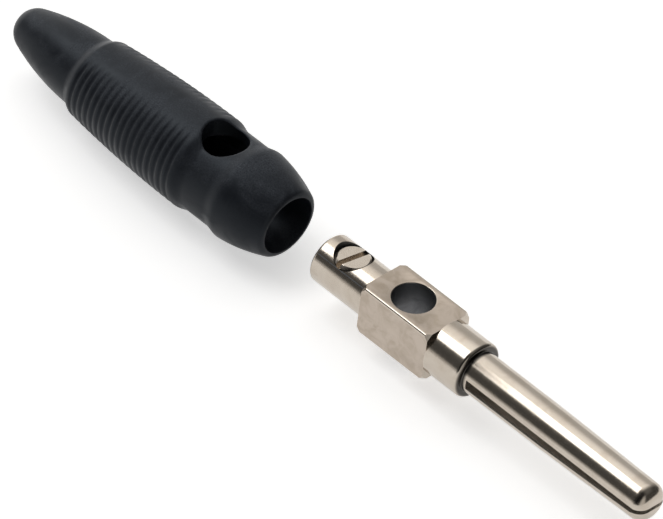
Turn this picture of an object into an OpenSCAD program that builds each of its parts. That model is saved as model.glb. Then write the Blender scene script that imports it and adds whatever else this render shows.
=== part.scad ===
// Banana plug for 4 mm sockets, with its insulating sleeve drawn off behind the contact.
// The plug's axis is X, with the pin's end at +X. The origin is on that axis, in the collar's front face.
// The cross holes and the clamp screw point up, along Z.

/* [Split pin] */
// Diameter of the pin's straight part, where its two halves stand sprung apart
pin_d = 4.2; // [3.95:0.05:4.6]
// Length of the pin from the collar to its end
pin_len = 22.3; // [18:0.1:28]
// Length of the straight part, next to the collar
pin_straight_len = 10; // [6:0.5:13]
// Diameter of the pin where its rounded end begins
pin_end_d = 3.85; // [3.4:0.05:3.95]
// Rounding of the pin's end
pin_end_round = 1.25; // [0.5:0.05:1.6]
// Width of the slot at the collar
slot_root_w = 0.9; // [0.7:0.1:1.1]
// Width of the slot at the pin's end
slot_end_w = 0.7; // [0.4:0.1:0.9]
// Solid length of pin between the collar and the slot
slot_land = 0.8; // [0.4:0.1:2]

/* [Collar and block] */
// Diameter of the collar
collar_d = 5.6; // [5.1:0.1:6.2]
// Length of the collar
collar_len = 4.1; // [3:0.1:6]
// Rounding of the collar's front edge
collar_round = 0.4; // [0.1:0.05:0.6]
// Width and height of the square block
block_w = 5.3; // [4.9:0.1:5.5]
// Length of the block
block_len = 8.4; // [7.4:0.1:10]
// Diameter over the block's turned long edges
block_turned_d = 7.3; // [6.6:0.1:7.4]
// Diameter at the block's ends, where its corners are turned off
block_end_d = 6.7; // [5.7:0.1:6.9]
// Length of the turned-off corners
block_end_len = 0.4; // [0.2:0.1:1]
// Diameter of the cross hole, which takes the pin of another plug
cross_hole_d = 4.05; // [3.6:0.05:4.3]
// From the block's rear end to the axis of the cross hole
cross_hole_from_rear = 3.9; // [3.4:0.1:4.8]
// Broken edge at both ends of the cross hole
cross_hole_edge = 0.1; // [0.05:0.05:0.25]

/* [Wire barrel] */
// Diameter of the barrel
barrel_d = 4.95; // [4.4:0.05:5.2]
// Length of the barrel behind the block
barrel_len = 6.7; // [5.5:0.1:9]
// Rounding of the barrel's rear edge
barrel_round = 0.35; // [0.1:0.05:0.6]
// Diameter of the hole for the wire
wire_hole_d = 2.2; // [1.6:0.1:2.6]
// Depth of the hole for the wire
wire_hole_len = 6; // [5:0.1:7]

/* [Clamp screw] */
// Diameter of the screw
screw_d = 3.6; // [2.8:0.1:3.8]
// Length of the screw
screw_len = 2.4; // [1.8:0.1:3]
// From the barrel's rear end to the screw's axis
screw_from_end = 3; // [2.4:0.1:4]
// Depth of the screw's top below the barrel's crest
screw_sunk = 0.4; // [0.2:0.05:0.8]
// Width of the driver slot
driver_w = 0.55; // [0.35:0.05:0.9]
// Depth of the driver slot
driver_depth = 0.8; // [0.4:0.1:1.1]
// Angle of the driver slot from straight across the barrel
driver_turn = 10; // [-90:5:90]
// Bevel round the screw's two ends
screw_bevel = 0.3; // [0.1:0.05:0.4]

/* [Sleeve outside] */
// Length of the sleeve
sleeve_len = 34.6; // [32:0.2:40]
// How far the sleeve is drawn back from its seat on the contact
drawn_back = 24.5; // [22:0.1:30]
// Diameter of the rounded ring behind the nose
ring_d = 9.4; // [9:0.1:10.4]
// From the mouth to the crest of that ring
ring_pos = 5.1; // [4.4:0.1:6]
// How far the nose bows out of a straight taper
nose_bow = 0.05; // [0:0.01:0.2]
// Diameter of the waist behind the ring
waist_d = 8.9; // [8.4:0.1:9.2]
// Length of the ring's fall to the waist, and of the waist's rise to the grip
waist_blend = 1.5; // [1:0.1:2]
// From the mouth to the front of the grip
grip_pos = 10.7; // [10:0.1:12]
// Diameter of the grip at its front
grip_front_d = 9.58; // [9.2:0.1:10.4]
// Length of the grip
grip_len = 14; // [12:0.2:16]
// Diameter of the grip at its rear
grip_rear_d = 8.06; // [7.6:0.1:8.8]
// How far the grip bows out of a straight taper
grip_bow = 0.19; // [0:0.01:0.3]
// Diameter of the boot where it leaves the grip
boot_d = 7; // [6.6:0.1:7.5]
// Length of the rounded step from the grip to the boot
boot_step_len = 1.2; // [0.6:0.1:1.6]
// Diameter of the boot at its tail
tail_d = 4.2; // [3.9:0.1:5]
// How far the boot bows out of a straight taper
boot_bow = 0.3; // [0:0.01:0.4]
// Rounding of the tail
tail_round = 1; // [0.2:0.05:1.2]

/* [Grip ribs] */
// Number of grooves along the grip
groove_count = 18; // [6:1:20]
// Depth of the grooves at the sides of the grip
groove_depth = 0.2; // [0.1:0.05:0.4]
// Width of a groove at the grip's surface
groove_w = 0.55; // [0.3:0.05:0.6]
// Width of a groove's floor
groove_floor_w = 0.2; // [0.1:0.05:0.3]
// How far a groove's ring is set off sideways, which makes it run out towards the top and the bottom
groove_offset = 0.35; // [0.25:0.05:1]

/* [Sleeve inside] */
// Wall of the sleeve at its mouth, outside the block's corners
lip_wall = 0.15; // [0.1:0.05:0.6]
// Rounding of the mouth's outer edge
lip_round = 0.1; // [0.05:0.05:0.2]
// Length of the lead-in that opens the channel to the mouth's full width
lead_in_len = 1; // [0.2:0.1:1.5]
// How far the mouth stands in front of the collar when the sleeve is on
mouth_lead = 0.1; // [0:0.1:1]
// Diameter of the sleeve's cross hole
sleeve_hole_d = 4.4; // [4.1:0.1:5]
// Diameter of the channel for the cable
cable_d = 2.6; // [2:0.1:3]

/* [Clearances] */
// Gap between the contact and the sleeve, on each side
sleeve_gap = 0.06; // [0.05:0.01:0.2]
// Gap over the clamp screw inside the sleeve
screw_gap = 0.4; // [0.2:0.05:0.6]
// Gap behind the block and the barrel when the sleeve is on
seat_gap = 0.1; // [0.05:0.05:0.4]
// Gap round the screw in its hole
thread_gap = 0.05; // [0.02:0.01:0.1]

/* [Hidden] */
$fn = 96;
overrun = 1;

// Places along the contact
block_front_x = -collar_len;
block_mid_x = block_front_x - block_len / 2;
block_rear_x = block_front_x - block_len;
barrel_rear_x = block_rear_x - barrel_len;
cross_hole_x = block_rear_x + cross_hole_from_rear;
drill_point_len = wire_hole_d / 2 * tan(30);

// Places of the clamp screw
screw_x = barrel_rear_x + screw_from_end;
screw_top_z = barrel_d / 2 - screw_sunk;
screw_end_z = screw_top_z - screw_len;
screw_hole_d = screw_d + 2 * thread_gap;
screw_reach = norm([screw_d / 2, screw_top_z]);

// Places along the sleeve, measured back from its mouth
mouth_x = mouth_lead - drawn_back;
sleeve_hole_pos = mouth_lead - cross_hole_x;
channel_len = mouth_lead - block_rear_x + seat_gap;
chamber_len = mouth_lead - barrel_rear_x + seat_gap;
chamber_r = max(barrel_d / 2 + sleeve_gap, screw_reach + screw_gap);
opening_r = block_turned_d / 2 + sleeve_gap;
mouth_r = opening_r + lip_wall;
rim_round = min(lip_round, 0.75 * lip_wall);
grip_end_pos = grip_pos + grip_len;
boot_pos = grip_end_pos + boot_step_len;
groove_pitch = grip_len / groove_count;

// Number of straight pieces in one curved stretch of the sleeve's outline
curve_steps = 8;

// Radius at a share u of a taper from r0 to r1 that bows outwards
function bowed(r0, r1, bow, u) = r0 + (r1 - r0) * u + 4 * bow * u * (1 - u);

// Radius at a share u of a soft step from r0 to r1, level at both ends
function softened(r0, r1, u) = r0 + (r1 - r0) * (1 - cos(180 * u)) / 2;

// Radius of the grip's crests at a distance behind the mouth
function grip_r(pos) =
    bowed(grip_front_d / 2, grip_rear_d / 2, grip_bow, (pos - grip_pos) / grip_len);

// Points of a quarter round, from a start angle, in radius and distance
function quarter_round(centre, r, start) =
    [for (i = [0:curve_steps]) let (a = start + 90 * i / curve_steps) centre + r * [cos(a), sin(a)]];

// Points of a soft step and of a bowed taper between two places
function soft_step(pos0, r0, pos1, r1) =
    [for (i = [0:curve_steps]) let (u = i / curve_steps) [softened(r0, r1, u), pos0 + (pos1 - pos0) * u]];
function bowed_taper(pos0, r0, pos1, r1, bow) =
    [for (i = [0:curve_steps]) let (u = i / curve_steps) [bowed(r0, r1, bow, u), pos0 + (pos1 - pos0) * u]];

// Turns a shape that stands on the plane Z = 0 so that it runs forwards from x, or backwards from x
module forwards_from(x) {
    translate([x, 0, 0]) rotate([0, 90, 0]) children();
}

module backwards_from(x) {
    translate([x, 0, 0]) rotate([0, -90, 0]) children();
}

// Round bar that stands on the plane Z = 0 with its far edge rounded
module rounded_bar(d, len, edge) {
    rotate_extrude() {
        square([d / 2, len - edge]);
        square([d / 2 - edge, len]);
        translate([d / 2 - edge, len - edge]) intersection() {
            circle(edge);
            square(edge);
        }
    }
}

// Square bar along the axis, skimmed to the given diameter over its edges
module skimmed_bar(x, len, w, over_edges_d) {
    intersection() {
        translate([x, -w / 2, -w / 2]) cube([len, w, w]);
        forwards_from(x) cylinder(d = over_edges_d, h = len);
    }
}

// Square block whose end corners are turned off
module block() {
    intersection() {
        skimmed_bar(block_rear_x, block_len, block_w, block_turned_d);
        forwards_from(block_rear_x) rotate_extrude() polygon([
            [0, 0],
            [block_end_d / 2, 0],
            [block_turned_d / 2, block_end_len],
            [block_turned_d / 2, block_len - block_end_len],
            [block_end_d / 2, block_len],
            [0, block_len]
        ]);
    }
}

// Pin before it is slotted: straight, then slightly tapered, then rounded off
module pin_blank() {
    taper_len = pin_len - pin_end_round - pin_straight_len;
    forwards_from(block_front_x) cylinder(d = pin_d, h = collar_len + pin_straight_len);
    forwards_from(pin_straight_len) cylinder(d1 = pin_d, d2 = pin_end_d, h = taper_len);
    forwards_from(pin_straight_len) rounded_bar(pin_end_d, pin_len - pin_straight_len, pin_end_round);
}

// Slot that splits the pin into an upper and a lower half
module pin_slot() {
    rotate([90, 0, 0]) linear_extrude(pin_d + 2 * overrun, center = true) polygon([
        [slot_land, -slot_root_w / 2],
        [pin_len, -slot_end_w / 2],
        [pin_len + overrun, -slot_end_w / 2],
        [pin_len + overrun, slot_end_w / 2],
        [pin_len, slot_end_w / 2],
        [slot_land, slot_root_w / 2]
    ]);
}

// Cross hole of the block with both its edges broken
module cross_hole() {
    translate([cross_hole_x, 0, 0]) {
        cylinder(d = cross_hole_d, h = block_w + 2 * overrun, center = true);
        for (side = [0, 1]) mirror([0, 0, side])
            translate([0, 0, block_w / 2 - cross_hole_edge])
                cylinder(d1 = cross_hole_d, d2 = cross_hole_d + 4 * cross_hole_edge, h = 2 * cross_hole_edge);
    }
}

// Drilled hole for the wire, with its drill point
module wire_hole() {
    forwards_from(barrel_rear_x - overrun) cylinder(d = wire_hole_d, h = wire_hole_len + overrun);
    forwards_from(barrel_rear_x + wire_hole_len) cylinder(d1 = wire_hole_d, d2 = 0, h = drill_point_len);
}

module screw_hole() {
    translate([screw_x, 0, screw_end_z - seat_gap])
        cylinder(d = screw_hole_d, h = barrel_d / 2 - screw_end_z + seat_gap + overrun);
}

// Nickel-plated brass contact, turned and milled from one bar
module contact_body() {
    color([0.72, 0.68, 0.63]) difference() {
        union() {
            backwards_from(block_mid_x) rounded_bar(barrel_d, block_len / 2 + barrel_len, barrel_round);
            block();
            forwards_from(block_front_x) rounded_bar(collar_d, collar_len, collar_round);
            pin_blank();
        }
        pin_slot();
        cross_hole();
        wire_hole();
        screw_hole();
    }
}

// Slotted set screw that clamps the wire
module clamp_screw() {
    color([0.62, 0.6, 0.57]) translate([screw_x, 0, screw_end_z]) difference() {
        rotate_extrude() polygon([
            [0, 0],
            [screw_d / 2 - screw_bevel, 0],
            [screw_d / 2, screw_bevel],
            [screw_d / 2, screw_len - screw_bevel],
            [screw_d / 2 - screw_bevel, screw_len],
            [0, screw_len]
        ]);
        rotate(-driver_turn) translate([0, 0, screw_len - driver_depth + overrun])
            cube([driver_w, screw_d + overrun, 2 * overrun], center = true);
    }
}

// Sleeve's outside: nose, ring, waist, grip and boot as one turned form
module sleeve_form() {
    rotate_extrude() polygon(concat(
        [[0, 0]],
        quarter_round([mouth_r - rim_round, rim_round], rim_round, -90),
        bowed_taper(rim_round, mouth_r, ring_pos, ring_d / 2, nose_bow),
        soft_step(ring_pos, ring_d / 2, ring_pos + waist_blend, waist_d / 2),
        soft_step(grip_pos - waist_blend, waist_d / 2, grip_pos, grip_front_d / 2),
        bowed_taper(grip_pos, grip_front_d / 2, grip_end_pos, grip_rear_d / 2, grip_bow),
        soft_step(grip_end_pos, grip_rear_d / 2, boot_pos, boot_d / 2),
        bowed_taper(boot_pos, boot_d / 2, sleeve_len - tail_round, tail_d / 2, boot_bow),
        quarter_round([tail_d / 2 - tail_round, sleeve_len - tail_round], tail_round, 0),
        [[0, sleeve_len]]
    ));
}

// Section of a groove from its floor outwards, with its flanks carried on past the grip's surface
module groove_section() {
    height = groove_depth + groove_offset;
    mouth_w = groove_floor_w + (groove_w - groove_floor_w) * height / groove_depth;
    polygon([
        [0, -groove_floor_w / 2],
        [height, -mouth_w / 2],
        [height, mouth_w / 2],
        [0, groove_floor_w / 2]
    ]);
}

// Grooves on one side of the grip, deepest at that side
module grip_grooves(side) {
    for (i = [0:groove_count - 1]) {
        pos = grip_pos + groove_pitch * (i + 0.5);
        floor_r = grip_r(pos) - groove_depth + groove_offset;
        translate([0, -side * groove_offset, pos]) rotate_extrude() translate([floor_r, 0]) groove_section();
    }
}

// Hollow of the sleeve: keyed channel for collar and block, chamber for the barrel, channel for the cable
module sleeve_hollow() {
    collar_r = collar_d / 2 + sleeve_gap;
    forwards_from(mouth_x - channel_len) cylinder(r = collar_r, h = channel_len + overrun);
    skimmed_bar(mouth_x - channel_len, channel_len + overrun, block_w + 2 * sleeve_gap, 2 * opening_r);
    forwards_from(mouth_x - lead_in_len) cylinder(r1 = collar_r, r2 = opening_r, h = lead_in_len);
    forwards_from(mouth_x - chamber_len) cylinder(r = chamber_r, h = chamber_len - channel_len + overrun);
    backwards_from(mouth_x - channel_len) cylinder(d = cable_d, h = sleeve_len - channel_len + overrun);
}

// Soft plastic sleeve, moulded in one piece
module insulating_sleeve() {
    color([0.13, 0.13, 0.15]) difference() {
        backwards_from(mouth_x) difference() {
            sleeve_form();
            for (side = [-1, 1]) grip_grooves(side);
        }
        sleeve_hollow();
        translate([mouth_x - sleeve_hole_pos, 0, 0])
            cylinder(d = sleeve_hole_d, h = ring_d + 2 * overrun, center = true);
    }
}

insulating_sleeve();
contact_body();
clamp_screw();
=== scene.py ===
import math

import bmesh
import bpy
from mathutils import Matrix, Vector


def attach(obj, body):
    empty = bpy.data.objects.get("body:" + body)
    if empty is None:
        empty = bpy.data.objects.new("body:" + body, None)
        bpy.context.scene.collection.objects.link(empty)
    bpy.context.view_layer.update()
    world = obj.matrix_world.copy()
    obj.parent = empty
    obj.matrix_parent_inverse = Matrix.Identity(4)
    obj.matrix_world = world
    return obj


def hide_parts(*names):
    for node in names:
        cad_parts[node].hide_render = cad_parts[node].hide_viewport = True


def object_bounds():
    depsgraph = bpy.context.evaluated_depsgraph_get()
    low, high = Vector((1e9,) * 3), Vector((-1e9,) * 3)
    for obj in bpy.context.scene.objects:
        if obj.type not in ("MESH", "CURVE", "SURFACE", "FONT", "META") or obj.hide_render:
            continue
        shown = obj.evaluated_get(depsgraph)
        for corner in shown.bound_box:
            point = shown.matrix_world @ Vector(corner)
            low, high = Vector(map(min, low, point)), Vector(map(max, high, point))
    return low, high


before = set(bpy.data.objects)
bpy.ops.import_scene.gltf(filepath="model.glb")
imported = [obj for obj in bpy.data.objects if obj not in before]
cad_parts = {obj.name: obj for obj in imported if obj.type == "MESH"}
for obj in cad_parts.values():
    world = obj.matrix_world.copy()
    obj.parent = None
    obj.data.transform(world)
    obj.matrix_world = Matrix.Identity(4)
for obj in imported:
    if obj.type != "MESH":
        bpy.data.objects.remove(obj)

cad_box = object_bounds()

# Shapes are modelled in millimetres and scaled to metres when they become pieces.
MM = 0.001
FULL_TURN = 2 * math.pi
ALONG_PLUG = (1, 0, 0)
UPRIGHT = (0, 0, 1)
MERGE_GAP = 1e-5
OVERRUN = 1.0
SHARP_ANGLE = math.radians(30)
JOIN_OVERLAP = 0.02
NEAR = 0.01

# Contact
PIN_R = 2.1
PIN_LEN = 22.3
PIN_STRAIGHT_LEN = 10.0
PIN_END_R = 1.925
PIN_END_ROUND = 1.25
SLOT_LAND = 0.55
SLOT_ROOT_W = 0.9
SLOT_END_W = 0.4
SLOT_EDGE = 0.07
COLLAR_R = 2.8
COLLAR_ROUND = 0.4
PIN_FILLET = 0.12
BLOCK_W = 5.3
BLOCK_FRONT_X = -4.1
BLOCK_REAR_X = -12.5
BLOCK_EDGE = 0.236
BLOCK_END_R = 3.35
BLOCK_END_LEN = 0.4
BLOCK_END_DROP = 0.3
CROSS_HOLE_X = -8.6
CROSS_HOLE_R = 2.025
CROSS_HOLE_EDGE = 0.1
BARREL_R = 2.475
BARREL_REAR_X = -19.2
BARREL_ROUND = 0.35
WIRE_HOLE_R = 1.1
WIRE_HOLE_LEN = 6.0
WIRE_HOLE_EDGE = 0.1
DRILL_POINT = math.radians(30)
CONTACT_STEPS = 160

# Clamp screw
SCREW_X = -16.2
SCREW_R = 1.8
SCREW_HOLE_R = 1.85
SCREW_TOP_Z = 2.075
SCREW_END_Z = -0.325
SCREW_BEVEL = 0.3
SCREW_SEAT_GAP = 0.1
THREAD_PITCH = 0.5
THREAD_DEPTH = 0.12
THREAD_ROWS = 44
DRIVER_W = 0.55
DRIVER_DEPTH = 0.8
DRIVER_TURN = math.radians(-10)
SCREW_STEPS = 96

# Sleeve, with distances behind its mouth
MOUTH_X = -24.4
SLEEVE_LEN = 34.6
MOUTH_R = 3.55
LIP_ROUND = 0.42
LEAD_IN_LEN = 0.7
RING_POS, RING_R = 5.1, 4.7
NOSE_BOW = 0.17
WAIST_R, WAIST_BLEND = 4.45, 1.5
GRIP_POS, GRIP_LEN = 10.7, 14.0
GRIP_FRONT_R, GRIP_REAR_R, GRIP_BOW = 4.79, 4.03, 0.19
BOOT_R, BOOT_STEP_LEN = 3.5, 1.2
TAIL_R, TAIL_ROUND, TAIL_DOME, BOOT_BOW = 2.1, 1.0, 2.15, 0.3
GROOVES, GROOVE_DEPTH, GROOVE_W = 18, 0.1, 0.6
GROOVE_END, GROOVE_FULL = 0.3, 0.74
CHANNEL_R, CHANNEL_LEN = 2.86, 12.7
CHAMBER_R, CHAMBER_LEN = 3.147, 19.4
KEY_POS, KEY_HALF_W, KEY_ROUND = 4.1, 2.71, 0.2
CABLE_R = 1.3
TAIL_HOLE_EDGE = 0.1
SLEEVE_HOLE_POS, SLEEVE_HOLE_R, SLEEVE_HOLE_RIM = 8.7, 2.2, 0.25
SLEEVE_STEPS = 192
SLEEVE_HOLE_STEPS = 128
SLEEVE_HOLE_REACH = 6.0
GRIP_END = GRIP_POS + GRIP_LEN
BOOT_POS = GRIP_END + BOOT_STEP_LEN
GROOVE_PITCH = GRIP_LEN / GROOVES


def arc(centre, r, start, end, count):
    """Points of an arc in a profile, from one angle to another in degrees."""
    angles = [math.radians(start + (end - start) * i / count) for i in range(count + 1)]
    return [(centre[0] + r * math.cos(a), centre[1] + r * math.sin(a)) for a in angles]


def turned(profile, axis, steps, closed=False):
    """A turned shape: a profile of (distance along the axis, radius) spun round that axis."""
    bm = bmesh.new()
    if axis == ALONG_PLUG:
        points = [(along, r, 0) for along, r in profile]
    else:
        points = [(r, 0, along) for along, r in profile]
    verts = [bm.verts.new(p) for p in points]
    pairs = list(zip(verts, verts[1:]))
    if closed:
        pairs.append((verts[-1], verts[0]))
    edges = [bm.edges.new(pair) for pair in pairs]
    bmesh.ops.spin(bm, geom=verts + edges, axis=axis, cent=(0, 0, 0), angle=FULL_TURN,
                   steps=steps, use_merge=True)
    bmesh.ops.remove_doubles(bm, verts=bm.verts, dist=MERGE_GAP)
    bmesh.ops.recalc_face_normals(bm, faces=bm.faces)
    return bm


def box_between(low, high):
    """A plain box tool between two corners."""
    bm = bmesh.new()
    bmesh.ops.create_cube(bm, size=1)
    bmesh.ops.scale(bm, vec=Vector(high) - Vector(low), verts=bm.verts)
    bmesh.ops.translate(bm, vec=(Vector(high) + Vector(low)) / 2, verts=bm.verts)
    return bm


def round_long_edges(bm, r):
    """Rounds the edges of a box that run along the plug."""
    long_edges = [e for e in bm.edges if abs(e.verts[0].co.x - e.verts[1].co.x) > OVERRUN]
    bmesh.ops.bevel(bm, geom=long_edges, offset=r, offset_type="OFFSET", segments=6, profile=0.5,
                    affect="EDGES", material=-1)


def shape_object(name, bm):
    mesh = bpy.data.meshes.new(name)
    bm.to_mesh(mesh)
    bm.free()
    obj = bpy.data.objects.new(name, mesh)
    bpy.context.scene.collection.objects.link(obj)
    return obj


def combine(body, tool_bm, operation):
    """Joins, cuts or trims a shape with a tool, and keeps the result as its mesh."""
    tool = shape_object("tool", tool_bm)
    step = body.modifiers.new("combine", "BOOLEAN")
    step.operation = operation
    step.solver = "EXACT"
    step.object = tool
    bpy.context.view_layer.update()
    shaped = body.evaluated_get(bpy.context.evaluated_depsgraph_get())
    result = bpy.data.meshes.new_from_object(shaped)
    body.modifiers.clear()
    spent = [body.data, tool.data]
    body.data = result
    bpy.data.objects.remove(tool)
    for mesh in spent:
        bpy.data.meshes.remove(mesh)


def finish_piece(obj, body, node, materials, pick_material):
    """Scales a shape to metres, smooths it between its sharp edges, and gives it its finishes and its place."""
    obj.data.name = obj.name
    obj.data.materials.clear()
    for finish in materials:
        obj.data.materials.append(finish)
    bm = bmesh.new()
    bm.from_mesh(obj.data)
    bmesh.ops.remove_doubles(bm, verts=bm.verts, dist=MERGE_GAP)
    bmesh.ops.dissolve_degenerate(bm, edges=bm.edges, dist=MERGE_GAP)
    for face in bm.faces:
        face.smooth = True
        face.material_index = pick_material(face)
    for edge in bm.edges:
        edge.smooth = len(edge.link_faces) == 2 and edge.calc_face_angle() < SHARP_ANGLE
    bmesh.ops.scale(bm, vec=(MM, MM, MM), verts=bm.verts)
    bm.to_mesh(obj.data)
    bm.free()
    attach(obj, body)
    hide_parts(node)


# Contact

def contact_spindle():
    """Barrel, collar and pin before the block is joined on and the holes are cut."""
    collar_x = BLOCK_FRONT_X - JOIN_OVERLAP
    profile = [(BARREL_REAR_X, 0)]
    profile += arc((BARREL_REAR_X + BARREL_ROUND, BARREL_R - BARREL_ROUND), BARREL_ROUND, 180, 90, 8)
    profile += [(collar_x, BARREL_R), (collar_x, COLLAR_R)]
    profile += arc((-COLLAR_ROUND, COLLAR_R - COLLAR_ROUND), COLLAR_ROUND, 90, 0, 8)
    profile += arc((PIN_FILLET, PIN_R + PIN_FILLET), PIN_FILLET, 180, 270, 4)
    profile += [(PIN_STRAIGHT_LEN, PIN_R)]
    profile += arc((PIN_LEN - PIN_END_ROUND, PIN_END_R - PIN_END_ROUND), PIN_END_ROUND, 90, 0, 20)
    profile += [(PIN_LEN, 0)]
    return turned(profile, ALONG_PLUG, CONTACT_STEPS)


def contact_block():
    """Square block, rounded over its long edges and turned off at its end corners."""
    half = BLOCK_W / 2
    bar = box_between((BLOCK_REAR_X, -half, -half), (BLOCK_FRONT_X, half, half))
    round_long_edges(bar, BLOCK_EDGE)
    block = shape_object("block", bar)
    wide = BLOCK_END_R + OVERRUN
    slope = BLOCK_END_LEN / BLOCK_END_DROP * OVERRUN
    form = turned([
        (BLOCK_REAR_X - OVERRUN, 0),
        (BLOCK_REAR_X - OVERRUN, BLOCK_END_R),
        (BLOCK_REAR_X, BLOCK_END_R),
        (BLOCK_REAR_X + slope, wide),
        (BLOCK_FRONT_X - slope, wide),
        (BLOCK_FRONT_X, BLOCK_END_R),
        (BLOCK_FRONT_X + OVERRUN, BLOCK_END_R),
        (BLOCK_FRONT_X + OVERRUN, 0),
    ], ALONG_PLUG, CONTACT_STEPS)
    combine(block, form, "INTERSECT")
    bm = bmesh.new()
    bm.from_mesh(block.data)
    spent = block.data
    bpy.data.objects.remove(block)
    bpy.data.meshes.remove(spent)
    return bm


def pin_slot():
    """Saw slot of the pin, flared where it breaks the pin's surface, narrower towards the pin's end."""
    far = PIN_LEN + OVERRUN
    flare = OVERRUN
    root_half = SLOT_ROOT_W / 2
    end_half = SLOT_END_W / 2
    root_y = math.sqrt(PIN_R ** 2 - root_half ** 2) - SLOT_EDGE
    end_y = math.sqrt(PIN_END_R ** 2 - end_half ** 2) - SLOT_EDGE
    bm = bmesh.new()
    outline = [
        (-root_y - flare, root_half + flare), (-root_y, root_half), (root_y, root_half),
        (root_y + flare, root_half + flare), (root_y + flare, -root_half - flare), (root_y, -root_half),
        (-root_y, -root_half), (-root_y - flare, -root_half - flare),
    ]
    section = bm.faces.new([bm.verts.new((SLOT_LAND, y, z)) for y, z in outline])
    swept = bmesh.ops.extrude_face_region(bm, geom=[section])
    moved = [v for v in swept["geom"] if isinstance(v, bmesh.types.BMVert)]
    for v in moved:
        side = math.copysign(1, v.co.y)
        level = math.copysign(1, v.co.z)
        v.co = (far, v.co.y + side * (end_y - root_y), v.co.z + level * (end_half - root_half))
    bmesh.ops.recalc_face_normals(bm, faces=bm.faces)
    return bm


def cross_hole():
    """Cross hole of the block, with a broken edge at each end."""
    top = BLOCK_W / 2
    edge = CROSS_HOLE_EDGE
    upper = [
        (top - edge, CROSS_HOLE_R),
        (top - 0.45 * edge, CROSS_HOLE_R + 0.2 * edge),
        (top - 0.1 * edge, CROSS_HOLE_R + 0.6 * edge),
        (top + OVERRUN, CROSS_HOLE_R + 0.6 * edge + 3 * OVERRUN),
    ]
    lower = [(-along, r) for along, r in reversed(upper)]
    profile = [(lower[0][0], 0)] + lower + upper + [(upper[-1][0], 0)]
    bm = turned(profile, UPRIGHT, CONTACT_STEPS)
    bmesh.ops.translate(bm, vec=(CROSS_HOLE_X, 0, 0), verts=bm.verts)
    return bm


def wire_hole():
    tip_x = BARREL_REAR_X + WIRE_HOLE_LEN
    return turned([
        (BARREL_REAR_X - OVERRUN, 0),
        (BARREL_REAR_X - OVERRUN, WIRE_HOLE_R + OVERRUN + WIRE_HOLE_EDGE),
        (BARREL_REAR_X + WIRE_HOLE_EDGE, WIRE_HOLE_R),
        (tip_x, WIRE_HOLE_R),
        (tip_x + WIRE_HOLE_R * math.tan(DRILL_POINT), 0),
    ], ALONG_PLUG, SCREW_STEPS)


def screw_hole():
    bottom = SCREW_END_Z - SCREW_SEAT_GAP
    bm = turned([
        (bottom, 0),
        (bottom, SCREW_HOLE_R),
        (BARREL_R + OVERRUN, SCREW_HOLE_R),
        (BARREL_R + OVERRUN, 0),
    ], UPRIGHT, SCREW_STEPS)
    bmesh.ops.translate(bm, vec=(SCREW_X, 0, 0), verts=bm.verts)
    return bm


def contact_finish(face):
    """0 for turned faces, 1 for the block's milled flats, 2 for the drilled insides, 3 for the sawn slot."""
    n = face.normal
    middle = face.calc_center_median()
    from_axis = math.hypot(middle.y, middle.z)
    square_on = max(abs(n.y), abs(n.z)) > 0.9995
    on_block_side = max(abs(middle.y), abs(middle.z)) > BLOCK_W / 2 - NEAR
    if square_on and on_block_side and BLOCK_REAR_X < middle.x < BLOCK_FRONT_X:
        return 1
    along_slot = SLOT_LAND - NEAR < middle.x < PIN_LEN - 0.05
    within_slot = abs(middle.z) < SLOT_ROOT_W / 2 + NEAR and from_axis < PIN_END_R
    if along_slot and within_slot and math.hypot(n.x, n.z) > 0.99:
        return 3
    in_cross_hole = math.hypot(middle.x - CROSS_HOLE_X, middle.y) < CROSS_HOLE_R + NEAR
    near_screw = math.hypot(middle.x - SCREW_X, middle.y) < SCREW_HOLE_R + NEAR
    in_screw_hole = near_screw and middle.z > SCREW_END_Z - SCREW_SEAT_GAP - NEAR
    in_wire_hole = middle.x < BLOCK_REAR_X and from_axis < WIRE_HOLE_R + NEAR
    return 2 if in_cross_hole or in_screw_hole or in_wire_hole else 0


def make_contact():
    contact = shape_object("plated_contact", contact_spindle())
    combine(contact, contact_block(), "UNION")
    for tool in (pin_slot(), cross_hole(), wire_hole(), screw_hole()):
        combine(contact, tool, "DIFFERENCE")
    return contact


# Clamp screw

def make_screw():
    """Set screw with its thread, a rounded rim and a driver slot."""
    low, high = SCREW_END_Z + SCREW_BEVEL, SCREW_TOP_Z - SCREW_BEVEL
    rim_r = SCREW_R - SCREW_BEVEL
    profile = [(SCREW_END_Z, 0), (SCREW_END_Z, rim_r)]
    profile += [(low + (high - low) * i / THREAD_ROWS, SCREW_R) for i in range(THREAD_ROWS + 1)]
    profile += [(SCREW_TOP_Z - 0.06, rim_r + 0.05), (SCREW_TOP_Z, rim_r - 0.04), (SCREW_TOP_Z, 0)]
    bm = turned(profile, UPRIGHT, SCREW_STEPS)
    for v in bm.verts:
        r = math.hypot(v.co.x, v.co.y)
        if r > SCREW_R - MERGE_GAP * 10:
            angle = math.atan2(v.co.y, v.co.x)
            share = (v.co.z / THREAD_PITCH - angle / FULL_TURN) % 1
            r -= THREAD_DEPTH * (1 - abs(2 * share - 1))
            v.co.x, v.co.y = r * math.cos(angle), r * math.sin(angle)
    screw = shape_object("slotted_screw", bm)
    reach = SCREW_R + OVERRUN
    slot = box_between((-DRIVER_W / 2, -reach, SCREW_TOP_Z - DRIVER_DEPTH),
                       (DRIVER_W / 2, reach, SCREW_TOP_Z + OVERRUN))
    bmesh.ops.rotate(slot, cent=(0, 0, 0), matrix=Matrix.Rotation(DRIVER_TURN, 3, "Z"), verts=slot.verts)
    combine(screw, slot, "DIFFERENCE")
    screw.data.transform(Matrix.Translation((SCREW_X, 0, 0)))
    return screw


# Sleeve

def bowed(r0, r1, bow, u):
    """A straight run from one radius to another, swollen in its middle."""
    return r0 + (r1 - r0) * u + 4 * bow * u * (1 - u)


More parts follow.
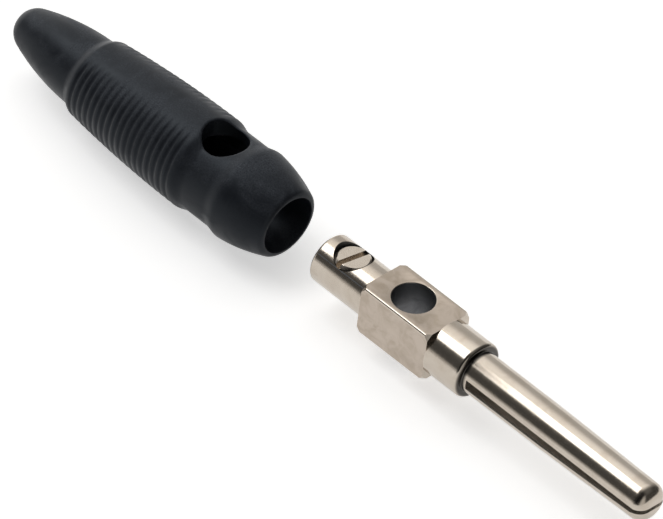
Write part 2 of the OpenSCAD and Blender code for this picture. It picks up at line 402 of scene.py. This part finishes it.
def softened(r0, r1, u):
    """A run from one radius to another that starts and ends level."""
    return r0 + (r1 - r0) * (1 - math.cos(math.pi * u)) / 2


def boot_step(u):
    """Shoulder from the grip down to the boot, in line with the slope of both."""
    grip_slope = (GRIP_REAR_R - GRIP_FRONT_R - 4 * GRIP_BOW) / GRIP_LEN
    boot_slope = (TAIL_R - BOOT_R + 4 * BOOT_BOW) / (SLEEVE_LEN - TAIL_ROUND - BOOT_POS)
    lean = grip_slope * u * (1 - u) ** 2 - boot_slope * u ** 2 * (1 - u)
    return GRIP_REAR_R + (BOOT_R - GRIP_REAR_R) * u ** 2 * (3 - 2 * u) + BOOT_STEP_LEN * lean


def sleeve_radius(pos):
    """Outer radius of the sleeve at a distance behind its mouth, without the grooves."""
    if pos < RING_POS:
        return bowed(MOUTH_R, RING_R, NOSE_BOW, (pos - LIP_ROUND) / (RING_POS - LIP_ROUND))
    if pos < RING_POS + WAIST_BLEND:
        return softened(RING_R, WAIST_R, (pos - RING_POS) / WAIST_BLEND)
    if pos < GRIP_POS - WAIST_BLEND:
        return WAIST_R
    if pos < GRIP_POS:
        return softened(WAIST_R, GRIP_FRONT_R, (pos - GRIP_POS + WAIST_BLEND) / WAIST_BLEND)
    if pos < GRIP_END:
        return bowed(GRIP_FRONT_R, GRIP_REAR_R, GRIP_BOW, (pos - GRIP_POS) / GRIP_LEN)
    if pos < BOOT_POS:
        return boot_step((pos - GRIP_END) / BOOT_STEP_LEN)
    return bowed(BOOT_R, TAIL_R, BOOT_BOW, (pos - BOOT_POS) / (SLEEVE_LEN - TAIL_ROUND - BOOT_POS))


def stations(start, end, spacing):
    """Even steps from a start up to, but not at, an end."""
    count = max(1, round((end - start) / spacing))
    return [start + (end - start) * i / count for i in range(count)]


def sleeve_profile():
    """Closed outline of the sleeve's wall: lip, outside, tail, then back along the hollow to the mouth."""
    outside = stations(LIP_ROUND, RING_POS, 0.3)
    outside += stations(RING_POS, GRIP_POS, 0.13)
    outside += stations(GRIP_POS, GRIP_END, GROOVE_PITCH / 10)
    outside += stations(GRIP_END, BOOT_POS, 0.12)
    outside += stations(BOOT_POS, SLEEVE_LEN - TAIL_ROUND, 0.35)
    nose_slope = math.atan2(RING_R - MOUTH_R + 4 * NOSE_BOW, RING_POS - LIP_ROUND)
    lip_round = LIP_ROUND / (1 - math.sin(nose_slope))
    lip_r = MOUTH_R - lip_round * math.cos(nose_slope)
    wall = arc((lip_round, lip_r), lip_round, 180, 90 + math.degrees(nose_slope), 10)[:-1]
    wall += [(pos, sleeve_radius(pos)) for pos in outside]
    boot_end = SLEEVE_LEN - TAIL_ROUND
    boot_slope = math.atan2(BOOT_R - TAIL_R + 4 * BOOT_BOW, boot_end - BOOT_POS)
    dome = (boot_end - TAIL_DOME * math.sin(boot_slope), TAIL_R - TAIL_DOME * math.cos(boot_slope))
    dome_end = math.degrees(math.asin((CABLE_R + TAIL_HOLE_EDGE - dome[1]) / TAIL_DOME))
    wall += arc(dome, TAIL_DOME, 90 - math.degrees(boot_slope), dome_end, 12)
    wall += [(wall[-1][0] - TAIL_HOLE_EDGE, CABLE_R)]
    wall += [(CHAMBER_LEN, CABLE_R), (CHAMBER_LEN, CHAMBER_R)]
    wall += [(CHANNEL_LEN, CHAMBER_R), (CHANNEL_LEN, CHANNEL_R)]
    lead_rows = 10
    for i in range(lead_rows):
        angle = math.radians(90 * i / lead_rows)
        flare = (lip_r - CHANNEL_R) * (1 - math.cos(angle))
        wall.append((LEAD_IN_LEN * (1 - math.sin(angle)), CHANNEL_R + flare))
    return [(MOUTH_X - pos, r) for pos, r in wall]


def groove_share(pos):
    """1 on the centre line of a groove, falling softly to 0 at its edges."""
    if not GRIP_POS < pos < GRIP_END:
        return 0
    off = ((pos - GRIP_POS) / GROOVE_PITCH) % 1 - 0.5
    u = abs(off) * GROOVE_PITCH / (GROOVE_W / 2)
    return (1 + math.cos(math.pi * u)) / 2 if u < 1 else 0


def mould_sleeve(bm):
    """Sinks the grip's grooves, deepest at the sides, and rolls the rim of the cross hole."""
    hole_x = MOUTH_X - SLEEVE_HOLE_POS
    for v in bm.verts:
        pos = MOUTH_X - v.co.x
        r = math.hypot(v.co.y, v.co.z)
        if not LIP_ROUND < pos < SLEEVE_LEN - TAIL_ROUND or r < sleeve_radius(pos) - NEAR:
            continue
        sideways = min(1, max(0, (abs(v.co.y) / r - GROOVE_END) / (GROOVE_FULL - GROOVE_END)))
        sunk = softened(0, GROOVE_DEPTH, sideways) * groove_share(pos)
        if sunk:
            v.co.y *= (r - sunk) / r
            v.co.z *= (r - sunk) / r
        from_hole = math.hypot(v.co.x - hole_x, v.co.y) - SLEEVE_HOLE_R + 0.2 * SLEEVE_HOLE_RIM
        if from_hole < SLEEVE_HOLE_RIM and abs(v.co.z) > BLOCK_W / 2:
            short = SLEEVE_HOLE_RIM - max(0, from_hole)
            v.co.z -= math.copysign(SLEEVE_HOLE_RIM - math.sqrt(SLEEVE_HOLE_RIM ** 2 - short ** 2), v.co.z)


def sleeve_key():
    """Square pocket in the sleeve's channel for the contact's block."""
    bm = box_between((MOUTH_X - CHANNEL_LEN, -KEY_HALF_W, -KEY_HALF_W),
                     (MOUTH_X - KEY_POS, KEY_HALF_W, KEY_HALF_W))
    round_long_edges(bm, KEY_ROUND)
    return bm


def sleeve_hole():
    low, high = -SLEEVE_HOLE_REACH, SLEEVE_HOLE_REACH
    profile = [(low, 0), (low, SLEEVE_HOLE_R), (high, SLEEVE_HOLE_R), (high, 0)]
    bm = turned(profile, UPRIGHT, SLEEVE_HOLE_STEPS)
    bmesh.ops.translate(bm, vec=(MOUTH_X - SLEEVE_HOLE_POS, 0, 0), verts=bm.verts)
    return bm


def make_sleeve():
    bm = turned(sleeve_profile(), ALONG_PLUG, SLEEVE_STEPS, closed=True)
    mould_sleeve(bm)
    sleeve = shape_object("moulded_sleeve", bm)
    combine(sleeve, sleeve_key(), "DIFFERENCE")
    combine(sleeve, sleeve_hole(), "DIFFERENCE")
    return sleeve


# Finishes

def add(tree, kind, values=(), **settings):
    """Adds a node. Each value is (socket, number, colour or the output that feeds it)."""
    node = tree.nodes.new(kind)
    for key, value in settings.items():
        setattr(node, key, value)
    for key, value in values:
        if isinstance(value, bpy.types.NodeSocket):
            tree.links.new(value, node.inputs[key])
        else:
            node.inputs[key].default_value = value
    return node


def ramp(tree, value, low, high, start=0.0, end=1.0, interpolation="SMOOTHSTEP"):
    """Carries a value from one range over to another."""
    node = add(tree, "ShaderNodeMapRange", [
        ("Value", value), ("From Min", low), ("From Max", high), ("To Min", start), ("To Max", end),
    ], interpolation_type=interpolation)
    return node.outputs["Result"]


def calc(tree, operation, *values):
    """Works on values that change over a surface or over the sky."""
    return add(tree, "ShaderNodeMath", enumerate(values), operation=operation).outputs[0]


def blend(tree, share, first, second):
    """Mixes two colours."""
    node = add(tree, "ShaderNodeMix", [("Factor", share), ("A", first), ("B", second)], data_type="RGBA")
    return node.outputs["Result"]


def new_group(name, inputs, outputs):
    tree = bpy.data.node_groups.new(name, "ShaderNodeTree")
    for label, kind, value in inputs:
        socket = tree.interface.new_socket(label, in_out="INPUT", socket_type=kind)
        socket.default_value = value
    for label, kind in outputs:
        tree.interface.new_socket(label, in_out="OUTPUT", socket_type=kind)
    return tree, tree.nodes.new("NodeGroupInput"), tree.nodes.new("NodeGroupOutput")


def handling_marks():
    """Cloudy patches and fine specks, as left by fingers and by handling."""
    tree, given, out = new_group("handling_marks", [
        ("Patch Scale", "NodeSocketFloat", 300.0),
        ("Speck Scale", "NodeSocketFloat", 4000.0),
    ], [("Patches", "NodeSocketFloat"), ("Specks", "NodeSocketFloat")])
    place = add(tree, "ShaderNodeTexCoord").outputs["Object"]
    patches = add(tree, "ShaderNodeTexNoise", [
        ("Vector", place), ("Scale", given.outputs["Patch Scale"]), ("Detail", 5.0), ("Roughness", 0.6),
        ("Distortion", 0.8),
    ])
    specks = add(tree, "ShaderNodeTexNoise", [
        ("Vector", place), ("Scale", given.outputs["Speck Scale"]), ("Detail", 3.0), ("Roughness", 0.7),
    ])
    spread = ramp(tree, patches.outputs["Fac"], 0.35, 0.68)
    crisp = ramp(tree, specks.outputs["Fac"], 0.3, 0.75, interpolation="LINEAR")
    tree.links.new(spread, out.inputs["Patches"])
    tree.links.new(crisp, out.inputs["Specks"])
    return tree


def tool_lines():
    """Fine lines that a cutting tool leaves, close together in one direction and long in the others."""
    tree, given, out = new_group("tool_lines", [
        ("Spacing", "NodeSocketVector", (9000.0, 60.0, 60.0)),
    ], [("Lines", "NodeSocketFloat"), ("Bands", "NodeSocketFloat")])
    place = add(tree, "ShaderNodeTexCoord").outputs["Object"]
    spacing = given.outputs["Spacing"]
    fine = add(tree, "ShaderNodeVectorMath", [(0, place), (1, spacing)], operation="MULTIPLY").outputs["Vector"]
    lines = add(tree, "ShaderNodeTexNoise", [
        ("Vector", fine), ("Scale", 1.0), ("Detail", 4.0), ("Roughness", 0.65),
    ])
    bands = add(tree, "ShaderNodeTexNoise", [("Vector", fine), ("Scale", 0.14), ("Detail", 2.0)])
    tree.links.new(lines.outputs["Fac"], out.inputs["Lines"])
    tree.links.new(bands.outputs["Fac"], out.inputs["Bands"])
    return tree


def use_group(tree, group, values=()):
    """Places a shared effect in a material, with the material's own values."""
    node = tree.nodes.new("ShaderNodeGroup")
    node.node_tree = group
    for key, value in values:
        node.inputs[key].default_value = value
    return node.outputs


def new_finish(name):
    finish = bpy.data.materials.new(name)
    finish.use_nodes = True
    tree = finish.node_tree
    return finish, tree, tree.nodes["Principled BSDF"]


def painted_corner_shade(tree, colour, dark):
    """Painted shade: a dark band in the corner between the collar and the pin."""
    place = add(tree, "ShaderNodeTexCoord").outputs["Object"]
    along = add(tree, "ShaderNodeSeparateXYZ", [(0, place)]).outputs["X"]
    collar_side = ramp(tree, along, -0.2 * MM, 0.0)
    pin_side = ramp(tree, along, 0.15 * MM, 0.5 * MM, 1.0, 0.0)
    return blend(tree, calc(tree, "MULTIPLY", collar_side, pin_side), colour, dark)


def plated_finish(name, pale, deep, spacing, smooth, rough, line_height, patch_scale, corner_shade=None):
    """Nickel plate over tool lines: cloudy tone, and gloss that changes with handling."""
    finish, tree, shader = new_finish(name)
    handled = use_group(tree, marks, [("Patch Scale", patch_scale), ("Speck Scale", 5200.0)])
    cut = use_group(tree, lines, [("Spacing", spacing)])
    colour = blend(tree, calc(tree, "MULTIPLY", handled["Patches"], cut["Bands"]), pale, deep)
    # Painted shade darkens the turned plate in the corner at the pin's root.
    if corner_shade:
        colour = painted_corner_shade(tree, colour, corner_shade)
    dullness = calc(tree, "MULTIPLY_ADD", handled["Patches"], handled["Specks"], cut["Lines"])
    relief = add(tree, "ShaderNodeBump", [
        ("Strength", 0.5), ("Distance", line_height), ("Height", cut["Lines"]),
    ])
    tree.links.new(colour, shader.inputs["Base Color"])
    tree.links.new(ramp(tree, dullness, 0.3, 1.2, smooth, rough, "LINEAR"), shader.inputs["Roughness"])
    tree.links.new(relief.outputs["Normal"], shader.inputs["Normal"])
    shader.inputs["Metallic"].default_value = 1.0
    return finish


def plastic_finish():
    """Near-black moulded plastic: fine grain, a soft gloss, and on the faces that look up faint dust with
    painted light from above.
    """
    finish, tree, shader = new_finish("sleeve_plastic")
    handled = use_group(tree, marks, [("Patch Scale", 260.0), ("Speck Scale", 7000.0)])
    place = add(tree, "ShaderNodeTexCoord").outputs
    facing = add(tree, "ShaderNodeSeparateXYZ", [(0, place["Normal"])])
    # Faces that look up turn paler: part dust, part painted light from above.
    upward = ramp(tree, facing.outputs["Z"], 0.2, 0.95, 0.05, 0.75)
    uneven = calc(tree, "MULTIPLY_ADD", handled["Patches"], handled["Specks"], 0.2)
    dust_and_top_light = calc(tree, "MULTIPLY", upward, uneven)
    colour = blend(tree, dust_and_top_light, (0.008, 0.0096, 0.0132, 1), (0.08, 0.0885, 0.105, 1))
    dullness = ramp(tree, handled["Patches"], 0.0, 1.0, 0.34, 0.55, "LINEAR")
    grain = add(tree, "ShaderNodeTexNoise", [("Vector", place["Object"]), ("Scale", 9000.0), ("Detail", 3.0)])
    relief = add(tree, "ShaderNodeBump", [
        ("Strength", 0.35), ("Distance", 6e-6), ("Height", grain.outputs["Fac"]),
    ])
    tree.links.new(colour, shader.inputs["Base Color"])
    tree.links.new(dullness, shader.inputs["Roughness"])
    tree.links.new(relief.outputs["Normal"], shader.inputs["Normal"])
    shader.inputs["Specular IOR Level"].default_value = 0.2
    shader.inputs["Specular Tint"].default_value = (0.8, 0.9, 1.0, 1)
    return finish


# Floor, light and camera

FLOOR_SIZE = 8.0
FLOOR_COLOUR = (0.86, 0.86, 0.86, 1)
FLOOR_LIFT = 0.56
SOFTBOX_PLACE = (-2.3, -0.95, 3.0)
SOFTBOX_SIZE = (2.2, 2.0)
SOFTBOX_WATTS = 46.0
STUDIO_COLOUR = (1, 0.985, 0.96, 1)
WHITE = (1, 1, 1, 1)

# The photograph's view: level axes of the picture, its roll, the point aimed at and its place in the picture.
LEVEL_RIGHT = Vector((0.7572, 0.6533, 0))
LEVEL_UP = Vector((-0.4333, 0.5022, 0.7485))
TOWARDS_CAMERA = Vector((0.4889, -0.5667, 0.6632))
CAMERA_ROLL = math.radians(7.86)
AIM = Vector((-18, 0, 0))
AIM_LEFT, AIM_UP = 0.55, 0.38
CAMERA_DISTANCE = 1.4
IMAGE_WIDTH_M = 663 / 11.2 * MM
SENSOR_MM = 36.0


def make_floor():
    bm = bmesh.new()
    bmesh.ops.create_grid(bm, x_segments=1, y_segments=1, size=FLOOR_SIZE / 2)
    bmesh.ops.translate(bm, vec=(0, 0, cad_box[0].z), verts=bm.verts)
    floor = shape_object("floor", bm)
    finish, tree, shader = new_finish("pale_floor")
    shader.inputs["Base Color"].default_value = FLOOR_COLOUR
    shader.inputs["Roughness"].default_value = 0.9
    shader.inputs["Specular IOR Level"].default_value = 0.0
    seen = add(tree, "ShaderNodeLightPath").outputs
    direct = calc(tree, "MAXIMUM", seen["Is Camera Ray"], seen["Is Glossy Ray"])
    shown = calc(tree, "MAXIMUM", direct, seen["Is Transmission Ray"])
    tree.links.new(calc(tree, "MULTIPLY", shown, FLOOR_LIFT), shader.inputs["Emission Strength"])
    shader.inputs["Emission Color"].default_value = WHITE
    floor.data.materials.append(finish)


def make_light():
    """One large softbox, and a studio that is pale behind and low down, and dim on the camera's side."""
    lamp = bpy.data.lights.new("softbox", "AREA")
    lamp.shape = "RECTANGLE"
    lamp.size, lamp.size_y = SOFTBOX_SIZE
    lamp.energy = SOFTBOX_WATTS
    softbox = bpy.data.objects.new("softbox", lamp)
    softbox.location = SOFTBOX_PLACE
    softbox.visible_camera = False
    bpy.context.scene.collection.objects.link(softbox)

    world = bpy.data.worlds.new("studio")
    world.use_nodes = True
    bpy.context.scene.world = world
    tree = world.node_tree
    tree.nodes.clear()
    place = add(tree, "ShaderNodeTexCoord").outputs["Generated"]
    axes = add(tree, "ShaderNodeSeparateXYZ", [(0, place)]).outputs
    high = ramp(tree, axes["Z"], 0.55, 0.9, 0.65, 1.5)
    rim = ramp(tree, axes["Z"], 0.06, 0.2, 0.6, 0.0)
    behind = ramp(tree, axes["Y"], -0.35, 0.1, 0.13, 1.0)
    front = ramp(tree, axes["Y"], -0.35, -0.1, 1.0, 0.0)
    far_left = ramp(tree, axes["X"], -0.95, -0.58, 1.1, 0.0)
    left = ramp(tree, axes["X"], -0.42, 0.2, 1.0, 0.12)
    right = ramp(tree, axes["X"], 0.54, 0.78, 0.0, 1.1)
    back_left = calc(tree, "MULTIPLY", behind, calc(tree, "ADD", left, far_left))
    around = calc(tree, "ADD", back_left, calc(tree, "MULTIPLY", front, right))
    upper = calc(tree, "MULTIPLY", high, around)
    glow = calc(tree, "MULTIPLY_ADD", rim, left, upper)
    studio = add(tree, "ShaderNodeBackground", [("Color", STUDIO_COLOUR), ("Strength", glow)])
    white = add(tree, "ShaderNodeBackground", [("Color", WHITE), ("Strength", 1.0)])
    seen = add(tree, "ShaderNodeLightPath").outputs
    mixed = add(tree, "ShaderNodeMixShader", [
        (0, seen["Is Camera Ray"]), (1, studio.outputs[0]), (2, white.outputs[0]),
    ])
    add(tree, "ShaderNodeOutputWorld", [("Surface", mixed.outputs[0])])


def make_camera():
    """A long lens far off, turned to the photograph's angle and slight roll."""
    back = TOWARDS_CAMERA.normalized()
    right = LEVEL_RIGHT * math.cos(CAMERA_ROLL) + LEVEL_UP * math.sin(CAMERA_ROLL)
    up = back.cross(right).normalized()
    right = up.cross(back).normalized()
    target = (AIM - right * AIM_LEFT + up * AIM_UP) * MM
    data = bpy.data.cameras.new("camera")
    data.sensor_width = SENSOR_MM
    data.lens = SENSOR_MM * CAMERA_DISTANCE / IMAGE_WIDTH_M
    data.clip_end = 100
    camera = bpy.data.objects.new("camera", data)
    turn = Matrix((right, up, back)).transposed().to_4x4()
    camera.matrix_world = Matrix.Translation(target + back * CAMERA_DISTANCE) @ turn
    bpy.context.scene.collection.objects.link(camera)
    bpy.context.scene.camera = camera


marks = handling_marks()
lines = tool_lines()
# The darkest colour given to the turned plate is painted shade in the corner at the pin's root.
turned_nickel = plated_finish(
    "nickel_turned", pale=(0.53, 0.475, 0.41, 1), deep=(0.45, 0.385, 0.315, 1), spacing=(9000.0, 120.0, 120.0),
    smooth=0.13, rough=0.24, line_height=2e-6, patch_scale=420.0, corner_shade=(0.06, 0.055, 0.05, 1))
flat_nickel = plated_finish(
    "nickel_flat", pale=(0.5, 0.43, 0.365, 1), deep=(0.34, 0.28, 0.215, 1), spacing=(500.0, 5200.0, 5200.0),
    smooth=0.28, rough=0.42, line_height=3e-6, patch_scale=700.0)
# Inside the drilled holes: a duller thin plate, darkened further as painted shade in these recesses.
bored_nickel_with_painted_shade = plated_finish(
    "nickel_bored_painted_shade", pale=(0.2, 0.205, 0.215, 1), deep=(0.14, 0.143, 0.15, 1), spacing=(3000.0, 3000.0, 6000.0),
    smooth=0.4, rough=0.55, line_height=4e-6, patch_scale=700.0)
# Inside the pin's slot: the saw cut's rougher grain, on a colour paler than the plate as painted light in the
# slot's shade.
sawn_nickel_with_painted_light = plated_finish(
    "nickel_sawn_painted_light", pale=(0.62, 0.58, 0.53, 1), deep=(0.5, 0.46, 0.41, 1), spacing=(6000.0, 500.0, 500.0),
    smooth=0.35, rough=0.5, line_height=4e-6, patch_scale=700.0)
screw_nickel = plated_finish(
    "screw_plate", pale=(0.64, 0.575, 0.5, 1), deep=(0.52, 0.46, 0.385, 1), spacing=(700.0, 4200.0, 300.0),
    smooth=0.18, rough=0.32, line_height=3e-6, patch_scale=900.0)
contact_finishes = [turned_nickel, flat_nickel, bored_nickel_with_painted_shade, sawn_nickel_with_painted_light]

finish_piece(make_contact(), "contact", "contact_body", contact_finishes, contact_finish)
finish_piece(make_screw(), "screw", "clamp_screw", [screw_nickel], lambda face: 0)
finish_piece(make_sleeve(), "sleeve", "insulating_sleeve", [plastic_finish()], lambda face: 0)

make_floor()
make_light()
make_camera()
bpy.context.scene.view_settings.view_transform = "Standard"
